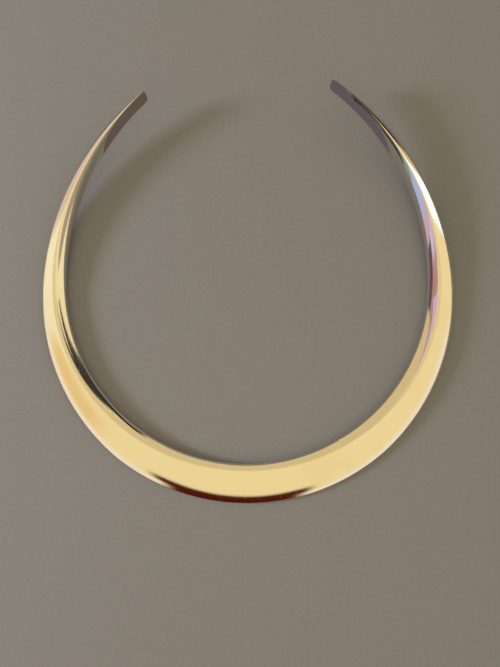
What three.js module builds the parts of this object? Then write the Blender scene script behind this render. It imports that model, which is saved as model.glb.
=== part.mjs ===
import * as THREE from 'three';

// A silver neck ring in one solid piece, lying on its front with the opening at +Y.
// All sizes are in millimetres. A place along the bar is its distance along the inner
// edge from the middle of the front. The two arms differ only in their length.

// Bend of the inner edge, seen from above
const FRONT_BEND_RADIUS = 62.4;
const TIP_BEND_RADIUS = 79.5;
const EASE_START = 91;
const EASE_LENGTH = 20;
const LEFT_LENGTH = 168;
const RIGHT_LENGTH = 174;

// The arms leave the table and climb towards the tips
const RISE_START = 92;
const TIP_RISE = 8.5;
const RISE_POWER = 1.3;

// Width of the bar. A larger hold keeps the front broad for longer, and a larger pinch
// makes the arms slim sooner
const FRONT_WIDTH = 13.7;
const TIP_WIDTH = 1.4;
const TAPER_HOLD = 1.98;
const TAPER_PINCH = 1.24;

// The section turns from a flat dome at the front, by way of an arch at this place on each
// arm, to a thin plate standing on edge at the tip
const ARM_AT = 85;
const FRONT_HEIGHT = 4.8;
const ARM_HEIGHT = 5.1;
const TIP_HEIGHT = 6;

// The crown is the highest line of the section, and lies this far out from its innermost line
const FRONT_CROWN_INSET = 1.8;
const ARM_CROWN_INSET = 4;
const TIP_CROWN_INSET = 0.3;

// Height of the innermost and the outermost line of the section above its underside
const FRONT_INNER_LINE = 3;
const ARM_INNER_LINE = 2.6;
const TIP_INNER_LINE = 0.3;
const FRONT_OUTER_LINE = 1.3;
const TIP_OUTER_LINE = 3.5;

// The flank from the innermost line up to the crown: 0 is a flat slope, 1 a round one
const FRONT_FLANK_BULGE = 0.35;
const ARM_FLANK_BULGE = 0.8;
const TIP_FLANK_BULGE = 1;

// The dome from the crown out to the outermost line, on the same scale
const FRONT_DOME_BULGE = 0.42;
const TIP_DOME_BULGE = 0.8;

// The flat underside lies this far in from the inner and the outer line, and keeps a
// least width where the bar is thin
const FRONT_INNER_ROUND = 0.8;
const TIP_INNER_ROUND = 0.1;
const FRONT_OUTER_ROUND = 1.2;
const TIP_OUTER_ROUND = 1.1;
const LEAST_FLAT = 0.2;

// Rounded corners and edges of the blunt tips
const TIP_CORNER_RADIUS = 1.4;
const TIP_EDGE_RADIUS = 0.35;

// Fineness of the facets
const STATION_SPACING = 3.2;
const CORNER_STEPS = 4;
const INNER_LOWER_STEPS = 2;
const INNER_UPPER_STEPS = 4;
const OUTER_UPPER_STEPS = 7;
const OUTER_LOWER_STEPS = 3;

const smoothStep = (t) => {
  const u = THREE.MathUtils.clamp(t, 0, 1);
  return u * u * (3 - 2 * u);
};

const riseAt = (distance, length) => {
  const share = Math.max(distance - RISE_START, 0) / (length - RISE_START);
  return TIP_RISE * share ** RISE_POWER;
};

// Follows the inner edge from the middle of the front in short steps, and gives its
// place and heading, where heading 0 runs along +X
function inwardEdgeAt(distance) {
  const steps = Math.max(1, Math.ceil(distance / 0.5));
  const step = distance / steps;
  let heading = 0;
  let x = 0;
  let y = 0;
  for (let i = 0; i < steps; i += 1) {
    const middle = (i + 0.5) * step;
    const ease = smoothStep((middle - EASE_START) / EASE_LENGTH);
    const turn = step * THREE.MathUtils.lerp(1 / FRONT_BEND_RADIUS, 1 / TIP_BEND_RADIUS, ease);
    x += step * Math.cos(heading + turn / 2);
    y += step * Math.sin(heading + turn / 2);
    heading += turn;
  }
  return { x, y, heading };
}

// A quarter of an ellipse, without its first point. With a bulge under 1 it lies closer to
// the straight line between its ends.
function addQuarter(points, from, to, turnsFirst, steps, bulge = 1) {
  for (let i = 1; i <= steps; i += 1) {
    const share = i / steps;
    const angle = share * Math.PI / 2;
    const slow = THREE.MathUtils.lerp(share, 1 - Math.cos(angle), bulge);
    const fast = THREE.MathUtils.lerp(share, Math.sin(angle), bulge);
    const across = turnsFirst === 'across' ? fast : slow;
    const up = turnsFirst === 'across' ? slow : fast;
    points.push(new THREE.Vector2(
      THREE.MathUtils.lerp(from.x, to.x, across),
      THREE.MathUtils.lerp(from.y, to.y, up),
    ));
  }
}

// The section across an arm of this length: x runs outwards from the inner line and y runs up
function sectionAt(distance, length) {
  const slimmed = 1 - (1 - (distance / length) ** TAPER_HOLD) ** TAPER_PINCH;
  const between = (front, tip) => THREE.MathUtils.lerp(front, tip, slimmed);
  const toArm = smoothStep(distance / ARM_AT);
  const toTip = smoothStep((distance - ARM_AT) / (length - ARM_AT));
  const turning = (front, arm, tip) => (
    THREE.MathUtils.lerp(THREE.MathUtils.lerp(front, arm, toArm), tip, toTip)
  );

  const width = between(FRONT_WIDTH, TIP_WIDTH);
  const height = turning(FRONT_HEIGHT, ARM_HEIGHT, TIP_HEIGHT);
  const flankBulge = turning(FRONT_FLANK_BULGE, ARM_FLANK_BULGE, TIP_FLANK_BULGE);
  const domeBulge = between(FRONT_DOME_BULGE, TIP_DOME_BULGE);
  const crownInset = turning(FRONT_CROWN_INSET, ARM_CROWN_INSET, TIP_CROWN_INSET);
  const innerLine = turning(FRONT_INNER_LINE, ARM_INNER_LINE, TIP_INNER_LINE);
  const crown = new THREE.Vector2(crownInset, height);
  const inner = new THREE.Vector2(0, innerLine);
  const outer = new THREE.Vector2(width, between(FRONT_OUTER_LINE, TIP_OUTER_LINE));
  const innerRound = between(FRONT_INNER_ROUND, TIP_INNER_ROUND);
  const outerRound = between(FRONT_OUTER_ROUND, TIP_OUTER_ROUND);
  const innerFoot = new THREE.Vector2(innerRound, 0);
  const outerFoot = new THREE.Vector2(Math.max(width - outerRound, innerRound + LEAST_FLAT), 0);
  const points = [innerFoot];
  addQuarter(points, innerFoot, inner, 'across', INNER_LOWER_STEPS);
  addQuarter(points, inner, crown, 'up', INNER_UPPER_STEPS, flankBulge);
  addQuarter(points, crown, outer, 'across', OUTER_UPPER_STEPS, domeBulge);
  addQuarter(points, outer, outerFoot, 'up', OUTER_LOWER_STEPS);

  // Close to a tip the section draws in, which rounds the corners and edges of its end
  const fromTip = Math.min((length - distance) / TIP_CORNER_RADIUS, 1);
  const drawnIn = 1 - Math.sqrt(1 - (1 - fromTip) ** 2);
  const widthLeft = (width - 2 * TIP_EDGE_RADIUS * drawnIn) / width;
  const heightLeft = (height - 2 * TIP_CORNER_RADIUS * drawnIn) / height;
  return points.map((p) => new THREE.Vector2(
    width / 2 + (p.x - width / 2) * widthLeft,
    height / 2 + (p.y - height / 2) * heightLeft,
  ));
}

// Distances along one arm, closer together round the corners of the tip
function stations(length) {
  const straight = length - TIP_CORNER_RADIUS;
  const count = Math.ceil(straight / STATION_SPACING);
  const distances = [];
  for (let i = 0; i <= count; i += 1) {
    distances.push((straight * i) / count);
  }
  for (let i = 1; i <= CORNER_STEPS; i += 1) {
    const angle = (i / CORNER_STEPS) * Math.PI / 2;
    distances.push(straight + TIP_CORNER_RADIUS * Math.sin(angle));
  }
  return distances;
}

// The rings of points round one arm, from the front to its tip; side is 1 to the right
// and -1 to the left
function armRings(side, length) {
  return stations(length).map((distance) => {
    const { x, y, heading } = inwardEdgeAt(distance);
    const rise = riseAt(distance, length);
    return sectionAt(distance, length).map((p) => new THREE.Vector3(
      side * (x + p.x * Math.sin(heading)),
      y - p.x * Math.cos(heading),
      rise + p.y,
    ));
  });
}

function bandGeometry() {
  const left = armRings(-1, LEFT_LENGTH).slice(1).reverse();
  const rings = [...left, ...armRings(1, RIGHT_LENGTH)];
  const count = rings[0].length;
  const indices = [];
  for (let r = 0; r + 1 < rings.length; r += 1) {
    for (let i = 0; i < count; i += 1) {
      const next = (i + 1) % count;
      const a = r * count + i;
      const b = r * count + next;
      const c = a + count;
      const d = b + count;
      indices.push(a, b, d, a, d, c);
    }
  }
  const last = (rings.length - 1) * count;
  const cap = THREE.ShapeUtils.triangulateShape(sectionAt(RIGHT_LENGTH, RIGHT_LENGTH), []);
  for (const [a, b, c] of cap) {
    indices.push(a, b, c);
    indices.push(last + a, last + c, last + b);
  }
  const geometry = new THREE.BufferGeometry().setFromPoints(rings.flat());
  geometry.setIndex(indices);
  geometry.computeVertexNormals();

  // The origin is the middle of the ring's extent, on the table
  geometry.computeBoundingBox();
  const { min, max } = geometry.boundingBox;
  geometry.translate(-(min.x + max.x) / 2, -(min.y + max.y) / 2, -min.z);
  return geometry;
}

const silver = new THREE.MeshStandardMaterial({ color: 0xd9d2c3, roughness: 0.08, metalness: 1 });

const band = new THREE.Mesh(bandGeometry(), silver);
band.name = 'torc_band';

const torc = new THREE.Group();
torc.add(band);

export default torc;
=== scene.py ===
import math

import bpy
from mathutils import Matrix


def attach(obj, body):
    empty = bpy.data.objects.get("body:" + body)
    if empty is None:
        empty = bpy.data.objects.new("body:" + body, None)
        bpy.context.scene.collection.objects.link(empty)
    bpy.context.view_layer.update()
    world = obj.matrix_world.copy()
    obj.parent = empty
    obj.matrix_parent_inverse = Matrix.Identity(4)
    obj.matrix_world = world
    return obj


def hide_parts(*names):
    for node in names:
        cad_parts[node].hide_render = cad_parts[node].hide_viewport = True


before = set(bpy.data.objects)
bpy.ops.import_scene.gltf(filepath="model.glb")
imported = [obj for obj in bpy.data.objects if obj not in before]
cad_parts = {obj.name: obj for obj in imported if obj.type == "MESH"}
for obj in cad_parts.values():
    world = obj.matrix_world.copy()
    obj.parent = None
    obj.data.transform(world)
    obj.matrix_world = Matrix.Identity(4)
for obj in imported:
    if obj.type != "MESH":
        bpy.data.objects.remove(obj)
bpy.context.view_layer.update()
scene = bpy.context.scene

MM = 0.001

# The bar follows the same rules as the solid that it stands for. A place along it is its
# distance along the inner edge from the middle of the front.
BAR_SIZES = {
    # Bend of the inner edge, seen from above
    "Front bend radius": 62.4 * MM,
    "Tip bend radius": 79.5 * MM,
    "Ease start": 91 * MM,
    "Ease length": 20 * MM,
    "Left length": 168 * MM,
    "Right length": 174 * MM,
    # The arms leave the table and climb towards the tips
    "Rise start": 92 * MM,
    "Tip rise": 8.5 * MM,
    "Rise power": 1.3,
    # Width of the bar, and how its slimming is spread along it
    "Front width": 13.7 * MM,
    "Tip width": 1.4 * MM,
    "Taper hold": 1.98,
    "Taper pinch": 1.24,
    # The section turns from a flat dome, by way of an arch, to a plate standing on edge
    "Arm at": 85 * MM,
    "Front height": 4.8 * MM,
    "Arm height": 5.1 * MM,
    "Tip height": 6 * MM,
    # The section's crown, and the heights of its innermost and outermost lines
    "Front crown inset": 1.8 * MM,
    "Arm crown inset": 4 * MM,
    "Tip crown inset": 0.3 * MM,
    "Front inner line": 3.0 * MM,
    "Arm inner line": 2.6 * MM,
    "Tip inner line": 0.3 * MM,
    "Front outer line": 1.3 * MM,
    "Tip outer line": 3.5 * MM,
    # How round the flank is between the innermost line and the crown
    "Front flank bulge": 0.35,
    "Arm flank bulge": 0.8,
    "Tip flank bulge": 1.0,
    # How round the dome is between the crown and the outermost line
    "Front dome bulge": 0.42,
    "Tip dome bulge": 0.8,
    # How far in the flat underside lies, and its least width
    "Front inner round": 0.8 * MM,
    "Tip inner round": 0.1 * MM,
    "Front outer round": 1.2 * MM,
    "Tip outer round": 1.1 * MM,
    "Least flat": 0.2 * MM,
    # Rounded corners and edges of the blunt tips
    "Tip corner radius": 1.4 * MM,
    "Tip edge radius": 0.35 * MM,
    # Polishing has taken this much off all round, and left the surface very slightly uneven
    "Polished away": 0.025 * MM,
    "Unevenness": 0.03 * MM,
    "Unevenness size": 14 * MM,
    "Seed": 5.0,
    # Stations stand closer together towards the tips, over this share of an arm
    "Tip crowding": 0.043,
}
BAR_COUNTS = {"Stations": 620, "Side steps": 28, "Cap rings": 4}

# The five sides of the section, from the inner foot over the crown to the underside
SECTION_SIDES = 5

# Points closer than this are joined where the section and the ends close
SEAM_GAP = 0.0001 * MM

# The camera stands over the ring a little below its middle, almost level
CAMERA_PLACE = (2.9 * MM, -21.8 * MM, 174 * MM)
CAMERA_TURN = (0.0515, 0.0104, -0.0014)
CAMERA_LENS = 27
SENSOR = 36


def from_screen(red, green, blue, gain=1.0):
    """The linear colour of a screen colour given from 0 to 255"""
    def linear(value):
        share = value / 255
        return share / 12.92 if share <= 0.04045 else ((share + 0.055) / 1.055) ** 2.4
    return (gain * linear(red), gain * linear(green), gain * linear(blue), 1.0)


class Formula:
    """A number in a node tree. Adding or multiplying it adds the nodes that work it out."""

    def __init__(self, tree, socket):
        self.tree = tree
        self.socket = socket

    def __add__(self, other):
        return calc(self.tree, "ADD", self, other)

    __radd__ = __add__

    def __sub__(self, other):
        return calc(self.tree, "SUBTRACT", self, other)

    def __rsub__(self, other):
        return calc(self.tree, "SUBTRACT", other, self)

    def __mul__(self, other):
        return calc(self.tree, "MULTIPLY", self, other)

    __rmul__ = __mul__

    def __truediv__(self, other):
        return calc(self.tree, "DIVIDE", self, other)

    def __rtruediv__(self, other):
        return calc(self.tree, "DIVIDE", other, self)

    def __pow__(self, other):
        return calc(self.tree, "POWER", self, other)

    def __abs__(self):
        return calc(self.tree, "ABSOLUTE", self)


def feed(tree, socket, value):
    if isinstance(value, Formula):
        tree.links.new(value.socket, socket)
    else:
        socket.default_value = value


def calc(tree, operation, *values):
    node = tree.nodes.new("ShaderNodeMath")
    node.operation = operation
    for socket, value in zip(node.inputs, values):
        feed(tree, socket, value)
    return Formula(tree, node.outputs["Value"])


def add_node(tree, kind, settings=None, **inputs):
    """A new node with its settings and its inputs by name, where _ stands for a space"""
    node = tree.nodes.new(kind)
    for name, value in (settings or {}).items():
        setattr(node, name, value)
    for name, value in inputs.items():
        wanted = name.replace("_", " ")
        socket = next(s for s in node.inputs if s.name == wanted and s.enabled)
        feed(tree, socket, value)
    return node


def output(tree, node, name):
    return Formula(tree, next(s for s in node.outputs if s.name == name and s.enabled))


def at_least(tree, value, least):
    return calc(tree, "MAXIMUM", value, least)


def at_most(tree, value, most):
    return calc(tree, "MINIMUM", value, most)


def mixed(first, second, share):
    return first + (second - first) * share


def smooth_step(tree, value):
    share = at_most(tree, at_least(tree, value, 0.0), 1.0)
    return share * share * (3.0 - 2.0 * share)


def pick(tree, index, values):
    """The value that stands at this place in a list"""
    node = add_node(tree, "GeometryNodeIndexSwitch", {"data_type": "FLOAT"}, Index=index)
    while len(node.index_switch_items) < len(values):
        node.index_switch_items.new()
    for socket, value in zip(list(node.inputs)[1:], values):
        feed(tree, socket, value)
    return output(tree, node, "Output")


def vector(tree, x, y, z):
    return output(tree, add_node(tree, "ShaderNodeCombineXYZ", X=x, Y=y, Z=z), "Vector")


class Bar:
    """The rules of the bar's shape as fields in a node tree"""

    def __init__(self, tree, size):
        self.tree = tree
        self.size = size

    def arm_length(self, signed):
        """Length of the arm that a place lies on, where the left arm's places are below 0"""
        on_right = calc(self.tree, "GREATER_THAN", signed, 0.0)
        return mixed(self.size["Left length"], self.size["Right length"], on_right)

    def signed_distance(self, station):
        """Distance along the inner edge at a station, below 0 on the left arm"""
        size, tree = self.size, self.tree
        last = size["Stations"] - 1.0 - 2.0 * size["Cap rings"]
        share = 2.0 * (station - size["Cap rings"]) / last - 1.0
        share = at_most(tree, at_least(tree, share, -1.0), 1.0)
        crowding = size["Tip crowding"]
        from_tip = 1.0 - abs(share)
        reach = calc(tree, "SQRT", from_tip * from_tip + crowding * crowding) - crowding
        full_reach = calc(tree, "SQRT", 1.0 + crowding * crowding) - crowding
        side = calc(tree, "SIGN", share)
        return side * self.arm_length(share) * (1.0 - reach / full_reach)

    def heading(self, signed_distance):
        """Angle of the bar from +X, after a bend that eases from the front's to the tips'"""
        size, tree = self.size, self.tree
        distance = abs(signed_distance)
        eased = at_least(tree, (distance - size["Ease start"]) / size["Ease length"], 0.0)
        inside = at_most(tree, eased, 1.0)
        turned = inside ** 3.0 - inside ** 4.0 / 2.0 + at_least(tree, eased - 1.0, 0.0)
        change = 1.0 / size["Tip bend radius"] - 1.0 / size["Front bend radius"]
        turn = distance / size["Front bend radius"] + change * size["Ease length"] * turned
        return calc(tree, "SIGN", signed_distance) * turn

    def section(self, signed_distance, side, along_side):
        """Place across and above the bar of a point of the section"""
        size, tree = self.size, self.tree
        distance = abs(signed_distance)
        length = self.arm_length(signed_distance)
        held = (distance / length) ** size["Taper hold"]
        taper = 1.0 - at_least(tree, 1.0 - held, 0.0) ** size["Taper pinch"]

        def between(name):
            return mixed(size["Front " + name], size["Tip " + name], taper)

        to_arm = smooth_step(tree, distance / size["Arm at"])
        to_tip = smooth_step(tree, (distance - size["Arm at"]) / (length - size["Arm at"]))

        def turning(name):
            on_arm = mixed(size["Front " + name], size["Arm " + name], to_arm)
            return mixed(on_arm, size["Tip " + name], to_tip)

        width = between("width")
        height = turning("height")
        flank_bulge = turning("flank bulge")
        dome_bulge = between("dome bulge")
        inner_foot = between("inner round")
        outer_foot = at_least(tree, width - between("outer round"), inner_foot + size["Least flat"])
        corners_across = [inner_foot, 0.0, turning("crown inset"), width, outer_foot, inner_foot]
        corners_up = [0.0, turning("inner line"), height, between("outer line"), 0.0, 0.0]

        # Each side is a quarter of an ellipse. With a bulge under 1 it lies closer to the
        # straight line between its ends, and with 0, as on the underside, it is that line.
        bulge = pick(tree, side, [1.0, flank_bulge, dome_bulge, 1.0, 0.0])
        quarter = along_side * (math.pi / 2)
        fast = mixed(along_side, calc(tree, "SINE", quarter), bulge)
        slow = mixed(along_side, 1.0 - calc(tree, "COSINE", quarter), bulge)
        share_across = pick(tree, side, [fast, slow, fast, slow, along_side])
        share_up = pick(tree, side, [slow, fast, slow, fast, along_side])
        across = mixed(
            pick(tree, side, corners_across), pick(tree, side + 1.0, corners_across), share_across,
        )
        up = mixed(pick(tree, side, corners_up), pick(tree, side + 1.0, corners_up), share_up)

        # Close to a tip the section draws in, which rounds the corners and edges of its end
        from_end = (length - distance) / size["Tip corner radius"]
        short = 1.0 - at_most(tree, from_end, 1.0)
        drawn_in = 1.0 - calc(tree, "SQRT", at_least(tree, 1.0 - short * short, 0.0))
        width_left = 1.0 - 2.0 * size["Tip edge radius"] * drawn_in / width
        height_left = 1.0 - 2.0 * size["Tip corner radius"] * drawn_in / height
        return width, height, across, up, width_left, height_left

    def rise(self, signed_distance):
        size, tree = self.size, self.tree
        past = at_least(tree, abs(signed_distance) - size["Rise start"], 0.0)
        share = past / (self.arm_length(signed_distance) - size["Rise start"])
        return size["Tip rise"] * share ** size["Rise power"]


def bar_tree(silver):
    """The whole bar: a grid of stations and section points, bent into the open ring"""
    tree = bpy.data.node_groups.new("Torc bar", "GeometryNodeTree")
    tree.is_modifier = True
    tree.interface.new_socket(name="Geometry", in_out="OUTPUT", socket_type="NodeSocketGeometry")
    for name in BAR_SIZES:
        tree.interface.new_socket(name=name, in_out="INPUT", socket_type="NodeSocketFloat")
    for name in BAR_COUNTS:
        tree.interface.new_socket(name=name, in_out="INPUT", socket_type="NodeSocketInt")
    given = tree.nodes.new("NodeGroupInput")
    size = {name: output(tree, given, name) for name in [*BAR_SIZES, *BAR_COUNTS]}
    bar = Bar(tree, size)
    index = output(tree, tree.nodes.new("GeometryNodeInputIndex"), "Index")

    # The inner edge, followed in short steps from the left tip
    route = add_node(tree, "GeometryNodePoints", Count=size["Stations"])
    here = bar.signed_distance(index)
    before = bar.signed_distance(index - 1.0)
    heading = bar.heading((here + before) / 2.0)
    step = vector(
        tree,
        calc(tree, "COSINE", heading) * (here - before),
        calc(tree, "SINE", heading) * (here - before),
        0.0,
    )
    steps = add_node(tree, "GeometryNodeAccumulateField", {"data_type": "FLOAT_VECTOR"}, Value=step)

    # One column of points round the section for each station
    around = size["Side steps"] * float(SECTION_SIDES)
    grid = add_node(
        tree, "GeometryNodeMeshGrid", Vertices_X=size["Stations"], Vertices_Y=around + 1.0,
    )
    station = calc(tree, "FLOOR", (index + 0.5) / (around + 1.0))
    place_round = index - station * (around + 1.0)
    side = calc(tree, "FLOOR", (place_round + 0.5) / size["Side steps"])
    side = at_most(tree, side, SECTION_SIDES - 1.0)
    along_side = place_round / size["Side steps"] - side
    signed = bar.signed_distance(station)
    heading = bar.heading(signed)
    width, height, across, up, width_left, height_left = bar.section(signed, side, along_side)

    # The first and the last stations close the ends, ring by ring towards the middle
    from_end = at_most(tree, station, size["Stations"] - 1.0 - station)
    open_share = at_most(tree, from_end / size["Cap rings"], 1.0)
    across = mixed(width / 2.0, across, width_left * open_share)
    up = mixed(height / 2.0, up, height_left * open_share)
    on_route = add_node(
        tree, "GeometryNodeSampleIndex", {"data_type": "FLOAT_VECTOR", "domain": "POINT"},
        Geometry=output(tree, route, "Points"),
        Value=output(tree, steps, "Leading"),
        Index=station,
    )
    outwards = vector(
        tree,
        calc(tree, "SINE", heading) * across,
        calc(tree, "COSINE", heading) * across * -1.0,
        bar.rise(signed) + up,
    )
    place = add_node(tree, "ShaderNodeVectorMath", {"operation": "ADD"})
    feed(tree, place.inputs[0], output(tree, on_route, "Value"))
    feed(tree, place.inputs[1], outwards)

    # The bar's own map for the finish: along it, and round it
    whole = size["Left length"] + size["Right length"]
    mapped = vector(tree, (signed + size["Left length"]) / whole, place_round / around, 0.0)
    with_map = add_node(
        tree, "GeometryNodeStoreNamedAttribute", {"data_type": "FLOAT2", "domain": "CORNER"},
        Geometry=output(tree, grid, "Mesh"), Name="bar", Value=mapped,
    )
    bent = add_node(
        tree, "GeometryNodeSetPosition",
        Geometry=output(tree, with_map, "Geometry"),
        Position=output(tree, place, "Vector"),
    )
    closed = add_node(
        tree, "GeometryNodeMergeByDistance",
        Geometry=output(tree, bent, "Geometry"), Distance=SEAM_GAP,
    )

    # The grid's faces look into the bar until they are turned over
    outside_out = add_node(tree, "GeometryNodeFlipFaces", Mesh=output(tree, closed, "Geometry"))

    # What polishing took away, only ever inwards
    wave = add_node(
        tree, "ShaderNodeTexNoise", {"noise_dimensions": "4D"},
        W=size["Seed"], Scale=1.0 / size["Unevenness size"], Detail=1.0,
    )
    inwards = add_node(tree, "ShaderNodeVectorMath", {"operation": "SCALE"})
    tree.links.new(tree.nodes.new("GeometryNodeInputNormal").outputs["Normal"], inwards.inputs[0])
    depth = output(tree, wave, "Fac") * size["Unevenness"] + size["Polished away"]
    feed(tree, inwards.inputs["Scale"], depth * -1.0)
    uneven = add_node(
        tree, "GeometryNodeSetPosition",
        Geometry=output(tree, outside_out, "Mesh"), Offset=output(tree, inwards, "Vector"),
    )

    # The middle of its extent comes to the origin, on the table
    extent = add_node(tree, "GeometryNodeBoundBox", Geometry=output(tree, uneven, "Geometry"))
    low = add_node(tree, "ShaderNodeSeparateXYZ", Vector=output(tree, extent, "Min"))
    high = add_node(tree, "ShaderNodeSeparateXYZ", Vector=output(tree, extent, "Max"))
    to_middle = vector(
        tree,
        (output(tree, low, "X") + output(tree, high, "X")) / -2.0,
        (output(tree, low, "Y") + output(tree, high, "Y")) / -2.0,
        output(tree, low, "Z") * -1.0,
    )
    centred = add_node(
        tree, "GeometryNodeSetPosition",
        Geometry=output(tree, uneven, "Geometry"), Offset=to_middle,
    )
    smooth = add_node(
        tree, "GeometryNodeSetShadeSmooth",
        Geometry=output(tree, centred, "Geometry"), Shade_Smooth=True,
    )
    real = add_node(
        tree, "GeometryNodeRealizeInstances", Geometry=output(tree, smooth, "Geometry"),
    )
    finished = add_node(
        tree, "GeometryNodeSetMaterial",
        Geometry=output(tree, real, "Geometry"), Material=silver,
    )
    result = tree.nodes.new("NodeGroupOutput")
    tree.links.new(finished.outputs["Geometry"], result.inputs["Geometry"])
    return tree


def make_bar(silver):
    tree = bar_tree(silver)
    maker = bpy.data.objects.new("bar_maker", bpy.data.meshes.new("bar_maker"))
    scene.collection.objects.link(maker)
    modifier = maker.modifiers.new("Torc bar", "NODES")
    modifier.node_group = tree
    for name, value in {**BAR_SIZES, **BAR_COUNTS}.items():
        modifier[tree.interface.items_tree[name].identifier] = value
    seen = maker.evaluated_get(bpy.context.evaluated_depsgraph_get())
    mesh = bpy.data.meshes.new_from_object(seen)
    bpy.data.objects.remove(maker)
    piece = bpy.data.objects.new("torc_silver", mesh)
    scene.collection.objects.link(piece)
    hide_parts("torc_band")
    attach(piece, "root")


def new_material(name):
    material = bpy.data.materials.new(name)
    material.use_nodes = True
    tree = material.node_tree
    return material, tree, tree.nodes["Principled BSDF"]


def noise_on(tree, place, scale, detail=2.0, roughness=0.5):
    node = add_node(
        tree, "ShaderNodeTexNoise", Vector=place, Scale=scale, Detail=detail, Roughness=roughness,
    )
    return output(tree, node, "Fac")


def stretched(tree, place, scale, turn=(0.0, 0.0, 0.0)):
    node = add_node(tree, "ShaderNodeMapping", Vector=place, Scale=scale, Rotation=turn)
    return output(tree, node, "Vector")


def colour_mix(tree, share, first, second):
    node = add_node(tree, "ShaderNodeMix", {"data_type": "RGBA"}, Factor=share, A=first, B=second)
    return output(tree, node, "Result")


CLEAN_SILVER = (0.93, 0.905, 0.85, 1.0)
# The colour of the tarnished clouds, and of the painted shade towards the tips
TARNISH_AND_SHADE_SILVER = (0.86, 0.8, 0.69, 1.0)
TARNISH_FINENESS = 45.0

# Fineness of the marks on the bar's own map, along it, round it and across
WIPE_FINENESS = (60.0, 45.0, 1.0)
WAVE_FINENESS = (40.0, 160.0, 1.0)
WAVE_DEPTH = 0.0005 * MM

# Each layer of hairline scratches has its own turn about Z, tilt and fineness
SCRATCH_LAYERS = ((0.35, 0.0, 900.0), (-0.6, 0.1, 1100.0), (1.9, 0.2, 800.0))
SCRATCH_TILT = 0.2
SCRATCH_DEPTH = 0.0006 * MM

# Roughness of the clean mirror, and what wiping, scratches and the dull tips add to it
MIRROR_ROUGHNESS = 0.035
WIPED_ROUGHNESS = 0.05
SCRATCHED_ROUGHNESS = 0.06
TIP_ROUGHNESS = 0.05
# Over this length the tips are rougher, and also darkened with painted shade
DULL_SHADED_TIP_LENGTH = 30 * MM

# The punched fields of the hallmark: places along the bar from the right tip, and the
# share of the way round the section that their middle line lies at
FIELD_COUNT = 3
FIELD_START = 3.4 * MM
FIELD_SPACING = 1.7 * MM
FIELD_AROUND = 0.285
FIELD_HALF_LENGTH = 0.55 * MM
FIELD_HALF_HEIGHT = 0.7 * MM
FIELD_EDGE = 0.12 * MM
FIELD_DEPTH = 0.04 * MM
STROKE_SPACING = 0.4 * MM

# Length once round the section, for measures on the bar's map
GIRTH = 30 * MM


def hallmark(tree, along, around):
    """Three small punched fields with plain strokes in them, on the right tip's inner face"""
    depth = None
    for number in range(FIELD_COUNT):
        middle = FIELD_START + FIELD_SPACING * number
        from_middle = abs(along - middle)
        from_line = abs(around - FIELD_AROUND) * GIRTH
        inside_length = 1.0 - smooth_step(tree, (from_middle - FIELD_HALF_LENGTH) / FIELD_EDGE)
        inside_height = 1.0 - smooth_step(tree, (from_line - FIELD_HALF_HEIGHT) / FIELD_EDGE)
        strokes = calc(tree, "SINE", (along - middle) * (2 * math.pi / STROKE_SPACING))
        field = inside_length * inside_height * (0.8 + 0.2 * strokes)
        depth = field if depth is None else depth + field
    return depth


def silver_finish():
    """Mirror-polished silver with hairline scratches, soft wipe marks, faint warm clouds where it
    is tarnished, and painted shade that darkens it towards the tips
    """
    material, tree, shader = new_material("polished_silver")
    map_node = add_node(tree, "ShaderNodeUVMap", {"uv_map": "bar"})
    on_bar = output(tree, map_node, "UV")
    parts = add_node(tree, "ShaderNodeSeparateXYZ", Vector=on_bar)
    length = BAR_SIZES["Left length"] + BAR_SIZES["Right length"]
    along = output(tree, parts, "X") * length
    around = output(tree, parts, "Y")
    on_object = output(tree, tree.nodes.new("ShaderNodeTexCoord"), "Object")

    from_right_end = length - along
    from_end = calc(tree, "MINIMUM", along, from_right_end)
    near_tip = 1.0 - smooth_step(tree, from_end / DULL_SHADED_TIP_LENGTH)

    # Wipe marks run along the bar; scratches cross the surface every way
    wiped = noise_on(tree, stretched(tree, on_bar, WIPE_FINENESS), 1.0, 3.0, 0.6)
    clouded = noise_on(tree, on_object, TARNISH_FINENESS, 3.0, 0.6)
    # Random clouds of real tarnished tone, plus painted shade that darkens the silver towards the
    # tips
    tarnish_and_tip_shade = smooth_step(tree, (clouded - 0.5) * 3.0) * 0.5 + near_tip * 0.35
    colour = colour_mix(tree, at_most(tree, tarnish_and_tip_shade, 1.0), CLEAN_SILVER, TARNISH_AND_SHADE_SILVER)
    tree.links.new(colour.socket, shader.inputs["Base Color"])

    scratches = None
    for turn, tilt, fineness in SCRATCH_LAYERS:
        across = stretched(
            tree, on_object, (fineness, fineness * 0.03, fineness * 0.4),
            (SCRATCH_TILT, tilt, turn),
        )
        ridge = noise_on(tree, across, 1.0, 1.0)
        line = smooth_step(tree, (ridge - 0.66) * 12.0)
        scratches = line if scratches is None else scratches + line
    smeared = smooth_step(tree, (wiped - 0.45) * 3.0) * clouded
    scratched = at_most(tree, scratches, 1.0)
    roughness = MIRROR_ROUGHNESS + WIPED_ROUGHNESS * smeared
    roughness = roughness + SCRATCHED_ROUGHNESS * scratched + TIP_ROUGHNESS * near_tip
    tree.links.new(roughness.socket, shader.inputs["Roughness"])

    polish = noise_on(tree, stretched(tree, on_bar, WAVE_FINENESS), 1.0, 2.0)
    height = polish * WAVE_DEPTH - scratches * SCRATCH_DEPTH
    height = height - hallmark(tree, from_right_end, around) * FIELD_DEPTH
    relief = add_node(tree, "ShaderNodeBump", Strength=1.0, Distance=1.0, Height=height)
    tree.links.new(relief.outputs["Normal"], shader.inputs["Normal"])
    shader.inputs["Metallic"].default_value = 1.0
    return material


FLOOR_SIZE = 6.0
FLOOR_ROUGHNESS = 0.8
FLECK_FINENESS = 900.0
PATCH_FINENESS = 6.0
PATCH_SHARE = 0.25
DARK_FLECK = from_screen(118, 120, 134)
PALE_FLECK = from_screen(140, 143, 156)


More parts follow.
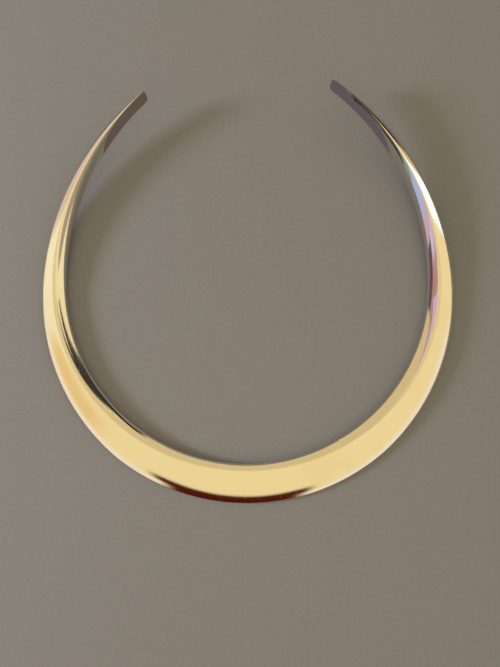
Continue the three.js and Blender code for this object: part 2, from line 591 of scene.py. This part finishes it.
def floor_finish():
    """A plain matt table top with a fine fleck"""
    material, tree, shader = new_material("table_top")
    place = output(tree, tree.nodes.new("ShaderNodeTexCoord"), "Object")
    fleck = noise_on(tree, place, FLECK_FINENESS, 2.0, 0.7)
    patch = noise_on(tree, place, PATCH_FINENESS, 2.0)
    paleness = (1.0 - PATCH_SHARE) * fleck + PATCH_SHARE * patch
    colour = colour_mix(tree, paleness, DARK_FLECK, PALE_FLECK)
    tree.links.new(colour.socket, shader.inputs["Base Color"])
    shader.inputs["Roughness"].default_value = FLOOR_ROUGHNESS
    shader.inputs["Specular IOR Level"].default_value = 0.0
    return material


def make_floor():
    mesh = bpy.data.meshes.new("floor")
    reach = FLOOR_SIZE / 2
    corners = [(-reach, -reach, 0), (reach, -reach, 0), (reach, reach, 0), (-reach, reach, 0)]
    mesh.from_pydata(corners, [], [(0, 1, 2, 3)])
    mesh.materials.append(floor_finish())
    floor = bpy.data.objects.new("floor", mesh)
    scene.collection.objects.link(floor)


# The soft cards round the table: colour, then azimuth and half its spread, then where it
# starts and ends as an angle from straight up, then its soft edge, all in degrees.
# Azimuth 0 is +X and 90 is +Y. A card with a start below 0 reaches straight up.
BACKDROP_COLOUR = from_screen(196, 190, 180)
ROOM_COLOUR = from_screen(246, 224, 166)
CARDS = {
    "pale left": (from_screen(252, 240, 194), 175, 14, 16, 84, 14),
    "amber left": (from_screen(240, 206, 140), 202, 15, 44, 110, 12),
    "rear wall": (from_screen(219, 197, 145), 95, 40, -40, 110, 12),
    "rose card": (from_screen(222, 194, 172), 152, 12, 44, 110, 10),
    "soft overhead": (from_screen(230, 208, 154), 0, 190, -40, 13, 10),
    "pale rim": (from_screen(250, 232, 206), 265, 92, 70, 120, 14),
    "white softbox": (from_screen(255, 255, 255, 1.3), 24, 7, 34, 110, 4),
    "amber strip": (from_screen(226, 184, 108), 36, 5, 60, 110, 3),
    "black flag": (from_screen(50, 44, 46), 50, 13, 62, 110, 3),
    "high black flag": (from_screen(50, 46, 46), 46, 6, 16, 62, 3),
    "dark red flag": (from_screen(78, 22, 10), 265, 21, 58, 112, 7),
    "dark red ends": (from_screen(78, 22, 10), 264, 25, 58, 68, 6),
}

# Narrow upright cards inside the ring, in planes across X, which only reflections see. Each
# has its place along X, start and end along Y, start and end in height, then its colour.
# The first three face the left arm, and the others stand behind them and face the right arm.
UPRIGHT_CARDS = {
    "black": (30, 35, 60, 3, 200, from_screen(50, 46, 46)),
    "cream": (30, 2, 35, 3, 200, from_screen(246, 228, 176)),
    "brown": (30, -40, 2, 3, 165, from_screen(172, 152, 128)),
    "tan": (31, -50, 5, 3, 165, from_screen(217, 194, 144)),
    "rust": (31, 5, 7.5, 25, 120, from_screen(176, 132, 108)),
    "pink": (31, 7.5, 9.5, 25, 165, from_screen(196, 132, 138)),
    "lavender": (31, 9.5, 14, 25, 165, from_screen(202, 198, 228)),
    "dusk": (31, 5, 14, 1, 25, from_screen(92, 76, 92)),
    "rose": (31, 14, 19, 1, 165, from_screen(208, 170, 190)),
    "blue": (31, 19, 28, 1, 165, from_screen(172, 188, 230)),
    "green": (31, 28, 33, 1, 165, from_screen(134, 152, 132)),
    "dark end": (31, 33, 46, 1, 165, from_screen(70, 62, 66)),
}

# Painted shade: dark cards close above the table under the tips, which the tips' inner
# faces reflect in place of the shaded table. Start and end along X and along Y, then the colour
LOW_CARD_HEIGHT = 0.15
LOW_CARDS = {
    "left shade": (-62, -3, 48, 74, from_screen(98, 84, 74)),
    "right shade": (3, 62, 48, 74, from_screen(102, 90, 98)),
}


def room():
    """A plain pale backdrop to look at, and a room of soft cards for the silver to reflect"""
    world = bpy.data.worlds.new("room")
    world.use_nodes = True
    scene.world = world
    tree = world.node_tree
    direction = tree.nodes.new("ShaderNodeTexCoord").outputs["Generated"]
    parts = add_node(tree, "ShaderNodeSeparateXYZ", Vector=Formula(tree, direction))
    x, y, z = (output(tree, parts, name) for name in "XYZ")
    azimuth = calc(tree, "ARCTAN2", y, x) * (180 / math.pi)
    from_up = calc(tree, "ARCCOSINE", z) * (180 / math.pi)
    colour = ROOM_COLOUR
    for tint, middle, spread, start, end, edge in CARDS.values():
        off_side = abs(calc(tree, "WRAP", azimuth - float(middle), 180.0, -180.0))
        off_height = abs(from_up - (start + end) / 2)
        beside = smooth_step(tree, (off_side - (spread - edge / 2)) / float(edge))
        beyond = smooth_step(tree, (off_height - ((end - start) / 2 - edge / 2)) / float(edge))
        colour = colour_mix(tree, (1.0 - beside) * (1.0 - beyond), colour, tint)
    straight = tree.nodes.new("ShaderNodeLightPath").outputs["Is Camera Ray"]
    colour = colour_mix(tree, Formula(tree, straight), colour, BACKDROP_COLOUR)
    background = tree.nodes["Background"]
    tree.links.new(colour.socket, background.inputs["Color"])
    background.inputs["Strength"].default_value = 1.0


def make_near_card(name, corners, colour):
    """A card that glows in its colour and that only reflections see"""
    material, tree, shader = new_material("card_" + name)
    shader.inputs["Base Color"].default_value = (0.0, 0.0, 0.0, 1.0)
    shader.inputs["Specular IOR Level"].default_value = 0.0
    shader.inputs["Emission Color"].default_value = colour
    shader.inputs["Emission Strength"].default_value = 1.0
    mesh = bpy.data.meshes.new("card_" + name)
    mesh.from_pydata([[MM * place for place in corner] for corner in corners], [], [(0, 1, 2, 3)])
    mesh.materials.append(material)
    card = bpy.data.objects.new("card_" + name, mesh)
    card.visible_camera = False
    card.visible_diffuse = False
    card.visible_shadow = False
    card.visible_transmission = False
    scene.collection.objects.link(card)


def make_near_cards():
    for name, (x, front, back, low, high, colour) in UPRIGHT_CARDS.items():
        corners = [(x, front, low), (x, back, low), (x, back, high), (x, front, high)]
        make_near_card(name, corners, colour)
    z = LOW_CARD_HEIGHT
    for name, (left, right, front, back, colour) in LOW_CARDS.items():
        corners = [(left, front, z), (right, front, z), (right, back, z), (left, back, z)]
        make_near_card(name, corners, colour)


# A low soft light from the left throws the arms' shadows across the table
LIGHT_HEIGHT_ANGLE = math.radians(22)
LIGHT_DISTANCE = 0.7
LIGHT_SIZE = 0.16
LIGHT_POWER = 3.2
LIGHT_COLOUR = (1.0, 0.97, 0.92)


def low_light():
    lamp = bpy.data.lights.new("low_left", "AREA")
    lamp.shape = "DISK"
    lamp.size = LIGHT_SIZE
    lamp.energy = LIGHT_POWER
    lamp.color = LIGHT_COLOUR
    holder = bpy.data.objects.new("low_left", lamp)
    holder.location = (
        -LIGHT_DISTANCE * math.cos(LIGHT_HEIGHT_ANGLE), 0.0,
        LIGHT_DISTANCE * math.sin(LIGHT_HEIGHT_ANGLE),
    )
    holder.rotation_euler = (0.0, -(math.pi / 2 - LIGHT_HEIGHT_ANGLE), 0.0)
    holder.visible_glossy = False
    scene.collection.objects.link(holder)


def camera():
    data = bpy.data.cameras.new("camera")
    data.lens = CAMERA_LENS
    data.sensor_width = SENSOR
    data.clip_start = 0.01
    holder = bpy.data.objects.new("camera", data)
    holder.location = CAMERA_PLACE
    holder.rotation_euler = CAMERA_TURN
    scene.collection.objects.link(holder)
    scene.camera = holder


scene.view_settings.view_transform = "Standard"
camera()
make_floor()
room()
make_near_cards()
low_light()
make_bar(silver_finish())
